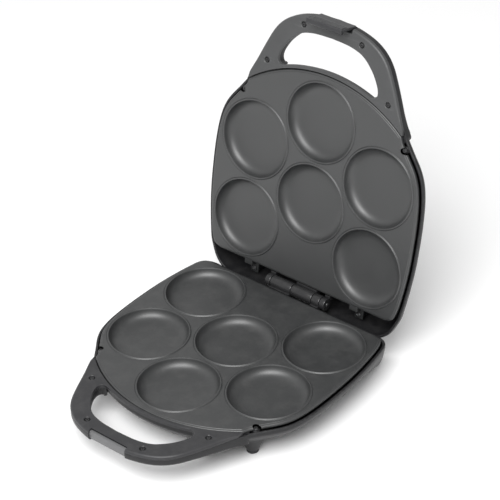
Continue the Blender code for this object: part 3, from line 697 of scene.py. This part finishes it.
def makeCover(half, space, cuts, cutNames, finish):
    values = coverValues
    outer = even(coverOutline(), values["spacing"])
    hole = list(reversed(even(holeOutline(), values["spacing"])))
    centre = Vector((0, outlineValues["arcCentre"]))
    rounds = []
    for p in outer:
        onArc = (p - centre).length < outlineValues["coverArc"] + values["arcReach"]
        softer = values["edgeRound"] + values["outerRound"] * blendIn(p.y, *values["outerSpan"])
        rounds.append(values["arcRound"] if onArc else softer)
    loops = [outer, hole]
    tops = [rounds, [values["holeRound"]] * len(hole)]
    flats = [[values["thickness"]] * len(loop) for loop in loops]
    backs = [[values["backRound"]] * len(loop) for loop in loops]
    piece = newPiece(f"{half}HandleCover", slab(loops, 0, flats, tops, backs), space)
    seat, mouth, deep = values["seat"], values["seatMouth"], values["seatDepth"]
    seats = bmesh.new()
    for x, v in handleScrewSpots:
        profile = [(0, -1), (seat + mouth, -1), (seat + mouth, 0), (seat, mouth), (seat, deep), (0, deep)]
        turnedPoint(seats, x, v, profile, 36)
    boolean(piece, seats, space)
    cutBlocks(piece, cuts, cutNames, space)
    finishPiece(piece, half, finishes[finish], [f"{half}_handle_cover"])


makeCover("base", baseSpace, catchCuts, ("notch", "window"), "basePlasticAndTabShade")
makeCover("lid", lidSpace, latchCuts, ("slot",), "lidPlasticAndRidgeHighlight")
print("handle covers made")


# Cooking plates

plateValues = {
    "margin": 3.8,
    "corner": [(105.6, 18), (102.2, 11.2), (95, 8.5)],
    "rear": 8.5,
    "sideFrom": 24, "arcClearance": 4,
    "spacing": 1.6,
    "border": [(2.3, 0), (2.15, 0), (1.95, 0.15), (1.8, 0.4), (1.5, 0.48), (1.0, 0.5), (0.5, 0.68),
               (0.12, 1.15), (0, 2.0), (0, 3.0)],
    "wells": [(0, 88.3), (0, 166.1), (68.8, 49.4), (-68.8, 49.4), (68.8, 127.2), (-68.8, 127.2)],
    "dish": [(38.5, 0), (38.35, 0), (38.25, 0.2), (37.95, 0.3), (37.7, 0.1), (37.5, -0.35), (37.2, -0.62),
             (36.8, -0.72), (36.3, -0.6), (35.95, -0.1), (35.75, 0.6), (35.3, 2.0),
             (34.4, 3.8), (33.0, 5.5), (31.0, 6.8), (28.5, 7.6), (25, 8.05), (18, 8.35), (9, 8.48), (0, 8.5)],
    "dishSegments": 96,
    "metal": 0.25,
    "notch": 2.8, "notchMouth": 9, "notchDepths": (-2, 5),
    "tongues": {"places": (-61, 61), "blocks": [(7, (8.7, 10.3), (1, 10), 0.4)]},
    "lugs": {
        "places": [x for x, _ in rearScrewSpots],
        "blocks": [(4.5, (4, 10.5), (1.2, 13.2), 0.6), (4.5, (-7, 5), (12, 14), 0.5)],
    },
}


def plateOutline():
    values = plateValues
    right = frontArc(outlineValues["plateArc"], outlineValues["arcHalfWidth"], 60)
    sides = inset(bodyOutline("lidCorner"), values["margin"])
    last = right[-1].y - values["arcClearance"]
    side = [p for p in sides if p.x > 0 and values["sideFrom"] < p.y < last]
    corner = smooth([side[-1]] + [Vector(p) for p in values["corner"]])[1:]
    return bothSides(right + side + corner + [Vector((0, values["rear"]))])


def plateSheet():
    values = plateValues
    shape = bmesh.new()
    outline = even(plateOutline(), values["spacing"])
    border = [ringOf(shape, inset(outline, ins), d) for ins, d in values["border"]]
    bridge(shape, border)
    loops = [border[0]]
    count = values["dishSegments"]
    angles = [-math.tau * i / count for i in range(count)]
    for x, v in values["wells"]:
        rings = []
        for radius, d in values["dish"][:-1]:
            spots = [(x + radius * math.cos(a), v + radius * math.sin(a), d) for a in angles]
            rings.append([shape.verts.new(spot) for spot in spots])
        bridge(shape, rings)
        pole = shape.verts.new((x, v, values["dish"][-1][1]))
        for i in range(count):
            shape.faces.new((rings[-1][i - 1], rings[-1][i], pole))
        loops.append(rings[0])
    capLoops(shape, loops)
    bmesh.ops.recalc_face_normals(shape, faces=shape.faces)
    widest = max(shape.faces, key=lambda face: face.calc_area())
    if widest.normal.z > 0:
        bmesh.ops.reverse_faces(shape, faces=shape.faces)
    return shape


def sheetPiece(name, shape, space, thickness):
    # an open sheet with its faces already turned the right way, given a wall
    mesh = bpy.data.meshes.new(name)
    shape.to_mesh(mesh)
    shape.free()
    mesh.transform(space)
    piece = addObject(name, mesh)
    wall = piece.modifiers.new("wall", "SOLIDIFY")
    wall.thickness = thickness * mm
    wall.offset = -1
    settle(piece)
    return piece


def makePlate(name, space, body, node, hangers):
    values = plateValues
    piece = sheetPiece(name, plateSheet(), space, values["metal"])
    radius, (top, bottom) = values["notch"], values["notchDepths"]
    notches = bmesh.new()
    for x, v in frontScrewSpots:
        turnedPoint(notches, x, v, [(0, top), (radius, top), (radius, bottom), (0, bottom)], 32)
    boolean(piece, notches, space)
    for x, v in frontScrewSpots:
        mouth = bmesh.new()
        across = sorted((x, x + math.copysign(values["notchMouth"], x)))
        addBlock(mouth, across, (v - radius, v + radius), (top, bottom), 0)
        boolean(piece, mouth, space)
    shape = bmesh.new()
    for x in hangers["places"]:
        for half, v, d, roundness in hangers["blocks"]:
            addBlock(shape, (x - half, x + half), v, d, roundness)
    boolean(piece, shape, space, "UNION")
    finishPiece(piece, body, finishes["coating"], [node])


makePlate("lowerPlate", baseSpace, "base", "lower_plate", plateValues["tongues"])
makePlate("upperPlate", lidSpace, "lid", "upper_plate", plateValues["lugs"])
print("plates made")


# Screws: one Geometry Nodes tree, one set for each body and seat

screwValues = {
    "handle": {"depth": 1.6, "length": 4.4, "finish": "darkSteel"},
    "front": {"depth": 2.9, "length": 4, "finish": "darkSteel"},
    "rear": {"depth": 11.5, "length": 8, "finish": "steel"},
}


def makeScrewTree():
    tree = bpy.data.node_groups.new("screwSet", "GeometryNodeTree")
    tree.interface.new_socket("Spots", in_out="INPUT", socket_type="NodeSocketGeometry")
    sizes = {"Head Radius": 0.0023, "Head Height": 0.0012, "Shank Radius": 0.0012, "Shank Length": 0.005,
             "Cross Width": 0.00055, "Cross Depth": 0.0008}
    for label, default in sizes.items():
        socket = tree.interface.new_socket(label, in_out="INPUT", socket_type="NodeSocketFloat")
        socket.default_value = default
    seed = tree.interface.new_socket("Turn Seed", in_out="INPUT", socket_type="NodeSocketInt")
    seed.default_value = 3
    tree.interface.new_socket("Metal", in_out="INPUT", socket_type="NodeSocketMaterial")
    tree.interface.new_socket("Screws", in_out="OUTPUT", socket_type="NodeSocketGeometry")
    given = tree.nodes.new("NodeGroupInput").outputs
    result = tree.nodes.new("NodeGroupOutput")

    def place(x, y, z):
        return addNode(tree, "ShaderNodeCombineXYZ", {0: x, 1: y, 2: z}).outputs[0]

    def raised(mesh, height):
        lifted = {"Geometry": mesh, "Translation": place(0.0, 0.0, height)}
        return addNode(tree, "GeometryNodeTransform", lifted).outputs[0]

    topRadius = calc(tree, "MULTIPLY", given["Head Radius"], 0.7)
    head = {"Vertices": 32, "Side Segments": 1, "Radius Top": topRadius, "Radius Bottom": given["Head Radius"]}
    head = addNode(tree, "GeometryNodeMeshCone", {**head, "Depth": given["Head Height"]}).outputs["Mesh"]
    shank = {"Vertices": 20, "Radius": given["Shank Radius"], "Depth": given["Shank Length"]}
    shank = addNode(tree, "GeometryNodeMeshCylinder", shank).outputs["Mesh"]
    shank = raised(shank, calc(tree, "MULTIPLY", given["Shank Length"], -0.48))
    armLength = calc(tree, "MULTIPLY", given["Head Radius"], 1.15)
    armDepth = calc(tree, "MULTIPLY", given["Cross Depth"], 2.0)
    cubes = []
    for size in ((armLength, given["Cross Width"]), (given["Cross Width"], armLength)):
        cube = addNode(tree, "GeometryNodeMeshCube", {"Size": place(*size, armDepth)}).outputs[0]
        cubes.append(raised(cube, given["Head Height"]))
    body = addNode(tree, "GeometryNodeMeshBoolean", operation="UNION")
    tree.links.new(head, body.inputs["Mesh 2"])
    tree.links.new(shank, body.inputs["Mesh 2"])
    cut = addNode(tree, "GeometryNodeMeshBoolean", operation="DIFFERENCE")
    tree.links.new(body.outputs["Mesh"], cut.inputs["Mesh 1"])
    for cube in cubes:
        tree.links.new(cube, cut.inputs["Mesh 2"])
    turn = addNode(tree, "FunctionNodeRandomValue", data_type="FLOAT")
    turn.inputs[3].default_value = math.tau
    tree.links.new(given["Turn Seed"], turn.inputs["Seed"])
    spin = place(0.0, 0.0, turn.outputs[1])
    copies = {"Points": given["Spots"], "Instance": cut.outputs["Mesh"]}
    copies = addNode(tree, "GeometryNodeInstanceOnPoints", copies)
    tree.links.new(spin, copies.inputs["Rotation"])
    real = addNode(tree, "GeometryNodeRealizeInstances", {"Geometry": copies.outputs[0]}).outputs[0]
    painted = addNode(tree, "GeometryNodeSetMaterial", {"Geometry": real, "Material": given["Metal"]})
    tree.links.new(painted.outputs[0], result.inputs[0])
    return tree


def applyTree(piece, tree, values):
    modifier = piece.modifiers.new(tree.name, "NODES")
    modifier.node_group = tree
    named = {item.name: item.identifier for item in tree.interface.items_tree if item.in_out == "INPUT"}
    for label, value in values.items():
        modifier[named[label]] = value
    settle(piece)


def pointCloud(name, spots):
    # one loose vertex for each spot, in metres, with the half's depth axis along -z
    mesh = bpy.data.meshes.new(name)
    mesh.from_pydata([(x * mm, -v * mm, -(faceGap + d) * mm) for x, v, d in spots], [], [])
    return addObject(name, mesh)


screwTree = makeScrewTree()
screwSpace = {"base": Matrix.Translation(hingePoint), "lid": Matrix.Translation(hingePoint) @ lidTurn}


def makeScrews(name, body, kind, spots, nodes, seed):
    values = screwValues[kind]
    finish = finishes[values["finish"]]
    piece = pointCloud(name, [(x, v, values["depth"]) for x, v in spots])
    applyTree(piece, screwTree, {"Shank Length": values["length"] * mm, "Turn Seed": seed, "Metal": finish})
    piece.data.transform(screwSpace[body])
    finishPiece(piece, body, finish, nodes)


for body, plateWord, seed in (("base", "lower", 3), ("lid", "upper", 8)):
    sideWords = [("left" if x < 0 else "right", "low" if v < 230 else "high") for x, v in handleScrewSpots]
    nodes = [f"{body}_handle_screw_{side}_{height}" for side, height in sideWords]
    makeScrews(f"{body}HandleScrews", body, "handle", handleScrewSpots, nodes, seed)
    nodes = [f"{plateWord}_plate_front_screw_{word}" for word in ("left", "right")]
    makeScrews(f"{body}PlateScrews", body, "front", frontScrewSpots, nodes, seed + 1)
nodes = [f"upper_plate_rear_screw_{word}" for word in ("left", "right")]
makeScrews("lugScrews", "lid", "rear", rearScrewSpots, nodes, 5)
print("screws made")


# Latch, its ridges, and the catch bar

latchValues = {
    "halfWidth": 19.0,
    "profile": [(258.4, 6.7), (260.8, 6.7), (260.8, -12.4), (261.3, -12.9), (261.3, -14.7), (260.8, -15.2),
                (257.4, -15.2), (256.0, -13.8), (256.0, -12.2), (256.4, -11.8), (258.4, -11.8)],
    "tabRound": 0.25,
    "pivot": (253.4, 5.9),
    "eyeRadius": 2.55, "eyeBore": 1.3, "eyeRound": 0.3, "eyeEnd": 14.6,
    "arm": ((-19, 14.6), (253.6, 259.2), (4.4, 6.9)), "armRound": 0.3,
    "ridges": 3,
    "ridgeStart": -10.6,
    "ridgeStep": 2.9,
    "ridgeRadius": 0.62,
    "ridgeEndGap": 1.8,
}
catchValues = {
    "bar": ((-22, 22), (254.9, 257.8), (3.5, 9)), "barRound": 0.35,
    "lip": ((-20.2, 20.2), (254.9, 257.8), (1, 5)), "lipRound": 0.45,
}


def makeRidgeTree():
    tree = bpy.data.node_groups.new("gripRidges", "GeometryNodeTree")
    tree.interface.new_socket("Start", in_out="INPUT", socket_type="NodeSocketGeometry")
    sizes = [("Count", "Int", 3), ("Step", "Float", 0.003), ("Length", "Float", 0.034),
             ("Radius", "Float", 0.0004)]
    for label, kind, default in sizes:
        socket = tree.interface.new_socket(label, in_out="INPUT", socket_type=f"NodeSocket{kind}")
        socket.default_value = default
    tree.interface.new_socket("Plastic", in_out="INPUT", socket_type="NodeSocketMaterial")
    tree.interface.new_socket("Ridges", in_out="OUTPUT", socket_type="NodeSocketGeometry")
    given = tree.nodes.new("NodeGroupInput").outputs
    result = tree.nodes.new("NodeGroupOutput")
    step = addNode(tree, "ShaderNodeCombineXYZ", {2: given["Step"]}).outputs[0]
    line = {"Count": given["Count"], "Offset": step}
    line = addNode(tree, "GeometryNodeMeshLine", line, mode="OFFSET").outputs[0]
    bar = {"Vertices": 16, "Radius": given["Radius"], "Depth": given["Length"]}
    bar = addNode(tree, "GeometryNodeMeshCylinder", bar).outputs["Mesh"]
    bar = addNode(tree, "GeometryNodeTransform", {"Geometry": bar, "Rotation": (0, math.pi / 2, 0)}).outputs[0]
    rows = addNode(tree, "GeometryNodeInstanceOnPoints", {"Points": line, "Instance": bar}).outputs[0]
    sets = {"Points": given["Start"], "Instance": rows}
    sets = addNode(tree, "GeometryNodeInstanceOnPoints", sets).outputs[0]
    real = addNode(tree, "GeometryNodeRealizeInstances", {"Geometry": sets}).outputs[0]
    painted = addNode(tree, "GeometryNodeSetMaterial", {"Geometry": real, "Material": given["Plastic"]})
    tree.links.new(painted.outputs[0], result.inputs[0])
    return tree


def addExtruded(shape, profile, x0, x1, roundness):
    # a (v, d) profile run along x
    faces = []
    ends = [[shape.verts.new((x, v, d)) for v, d in profile] for x in (x0, x1)]
    for i in range(len(profile)):
        faces.append(shape.faces.new((ends[0][i - 1], ends[0][i], ends[1][i], ends[1][i - 1])))
    faces += [shape.faces.new(ends[0]), shape.faces.new(ends[1])]
    edges = list({edge for face in faces for edge in face.edges})
    bmesh.ops.bevel(shape, geom=edges, offset=roundness, segments=2, affect="EDGES", profile=0.5)


def makeLatch():
    values = latchValues
    half = values["halfWidth"]
    shape = bmesh.new()
    addExtruded(shape, values["profile"], -half, half, values["tabRound"])
    piece = newPiece("latchTab", shape, lidSpace)
    arm = bmesh.new()
    addBlock(arm, *values["arm"], values["armRound"])
    boolean(piece, arm, lidSpace, "UNION")
    eye = bmesh.new()
    radius, bore, soft, end = (values[key] for key in ("eyeRadius", "eyeBore", "eyeRound", "eyeEnd"))
    ring = [(bore, -half), (radius - soft, -half), (radius, -half + soft), (radius, end - soft)]
    ring += [(radius - soft, end), (bore, end), (bore, -half)]
    addTurned(eye, ring, (0, *values["pivot"]), (1, 0, 0), 40)
    boolean(piece, eye, lidSpace, "UNION")
    # the tab is painted darker than its ridges: painted shade in the grooves and a painted highlight on the
    # ridges
    finishPiece(piece, "latch", finishes["basePlasticAndTabShade"], ["latch"])
    ridges = pointCloud("latchRidges", [(0, values["profile"][1][0], values["ridgeStart"])])
    length = 2 * (half - values["ridgeEndGap"])
    sizes = {"Count": values["ridges"], "Step": -values["ridgeStep"] * mm, "Length": length * mm,
             "Radius": values["ridgeRadius"] * mm, "Plastic": finishes["lidPlasticAndRidgeHighlight"]}
    applyTree(ridges, makeRidgeTree(), sizes)
    ridges.data.transform(screwSpace["lid"])
    finishPiece(ridges, "latch", finishes["lidPlasticAndRidgeHighlight"], ["latch"])


def makeCatchBar():
    values = catchValues
    shape = bmesh.new()
    addBlock(shape, *values["bar"], values["barRound"])
    piece = newPiece("catchBar", shape, baseSpace)
    lip = bmesh.new()
    addBlock(lip, *values["lip"], values["lipRound"], 3)
    boolean(piece, lip, baseSpace, "UNION")
    finishPiece(piece, "base", finishes["catchPlastic"], ["catch_bar"])


makeLatch()
makeCatchBar()
print("latch made")


# Feet, gland, hinge pin and lamps

def makeTurnedPiece(name, profile, place, axis, half, finish, node, segments):
    shape = bmesh.new()
    addTurned(shape, profile, place, axis, segments)
    piece = newPiece(name, shape, lidSpace if half == "lid" else baseSpace)
    finishPiece(piece, half, finishes[finish], [node])


upright, alongHinge = (0, 0, 1), (1, 0, 0)
for word, x, v in footValues["places"]:
    name = "footPad" + word.title().replace("_", "")
    pad, node = footValues["pad"], f"foot_pad_{word}"
    makeTurnedPiece(name, pad, (x, v, 0), upright, "base", "rubber", node, 48)
place, axis = glandValues["place"], glandValues["axis"]
makeTurnedPiece("cordGland", glandValues["profile"], place, axis, "base", "rubber", "cord_gland", 64)
place = (0, 0, -faceGap)
makeTurnedPiece("hingePin", hingeValues["pin"], place, alongHinge, "base", "steel", "hinge_pin", 32)
for node, (x, v, finish, slot) in lampValues["spots"].items():
    name = node.replace("_lamp_lens", "LampLens")
    makeTurnedPiece(name, lampValues["dome"], (x, v, 0), upright, "lid", finish, node, 40)
print("small pieces made")


# The inner pieces keep their shapes and get their finishes

innerFinishes = {
    "heating_element": "steel", "reflector": "sheetMetal", "thermostat": "bakelite", "thermal_fuse": "sheetMetal",
    "terminal_block": "ceramic", "latch_pin": "steel", "latch_spring": "steel",
}
for name, piece in frame["nodes"].items():
    for word, finish in innerFinishes.items():
        if name.endswith(word):
            piece.data.materials.clear()
            piece.data.materials.append(finishes[finish])
print("inner pieces finished")


# Floor, light and camera

stageValues = {
    "floorHalf": 3.0,
    "floorColour": (0.94, 0.94, 0.94), "floorRough": 0.9, "floorGloss": 0.1,
    "skyFromLeft": 0.8, "skyFromRight": 0.4,
    "keyPlace": (0.55, -1.1, 1.7), "keyAim": (0, 0, 0.1), "keySize": 1.3, "keyPower": 50.0,
    "azimuth": 40.788, "elevation": 35.228, "roll": -2.517,
    "distance": 1.79775,
    "lens": 149.805, "sensor": 36,
    "target": (0.008132, -0.07329, 0.091666),  # from the hinge
}


def makeFloor():
    shape = bmesh.new()
    bmesh.ops.create_grid(shape, x_segments=1, y_segments=1, size=stageValues["floorHalf"])
    mesh = bpy.data.meshes.new("floor")
    shape.to_mesh(mesh)
    shape.free()
    floor = addObject("floor", mesh)
    material = bpy.data.materials.new("paleFloor")
    material.use_nodes = True
    shader = material.node_tree.nodes["Principled BSDF"]
    shader.inputs["Base Color"].default_value = (*stageValues["floorColour"], 1)
    shader.inputs["Roughness"].default_value = stageValues["floorRough"]
    shader.inputs["Specular IOR Level"].default_value = stageValues["floorGloss"]
    mesh.materials.append(material)


def makeSky():
    # a white room that is brighter on the left
    world = bpy.data.worlds.new("studio")
    world.use_nodes = True
    tree = world.node_tree
    way = addNode(tree, "ShaderNodeTexCoord").outputs["Generated"]
    across = addNode(tree, "ShaderNodeSeparateXYZ", {0: way}).outputs["X"]
    bright = addNode(tree, "ShaderNodeMapRange", {"Value": across, "From Min": -1.0, "From Max": 1.0})
    bright.inputs["To Min"].default_value = stageValues["skyFromLeft"]
    bright.inputs["To Max"].default_value = stageValues["skyFromRight"]
    tree.links.new(bright.outputs[0], tree.nodes["Background"].inputs["Strength"])
    tree.nodes["Background"].inputs["Color"].default_value = (1, 1, 1, 1)
    bpy.context.scene.world = world


def makeKeyLamp():
    values = stageValues
    lamp = addObject("key", bpy.data.lights.new("key", "AREA"))
    lamp.data.size = values["keySize"]
    lamp.data.energy = values["keyPower"]
    lamp.location = values["keyPlace"]
    towards = Vector(values["keyAim"]) - Vector(values["keyPlace"])
    lamp.rotation_euler = towards.to_track_quat("-Z", "Y").to_euler()


def makeCamera():
    values = stageValues
    turn, lift, roll = (math.radians(values[key]) for key in ("azimuth", "elevation", "roll"))
    back = Vector((math.sin(turn) * math.cos(lift), -math.cos(turn) * math.cos(lift), math.sin(lift)))
    level = Vector((math.cos(turn), math.sin(turn), 0))
    upright = back.cross(level)
    right = math.cos(roll) * level + math.sin(roll) * upright
    above = -math.sin(roll) * level + math.cos(roll) * upright
    camera = addObject("camera", bpy.data.cameras.new("camera"))
    camera.data.lens = values["lens"]
    camera.data.sensor_width = values["sensor"]
    axes = Matrix((right, above, back)).transposed().to_4x4()
    place = hingePoint + Vector(values["target"]) + back * values["distance"]
    camera.matrix_world = Matrix.Translation(place) @ axes
    bpy.context.scene.camera = camera


makeFloor()
makeSky()
makeKeyLamp()
makeCamera()
bpy.context.scene.view_settings.view_transform = "Standard"
print("stage made")
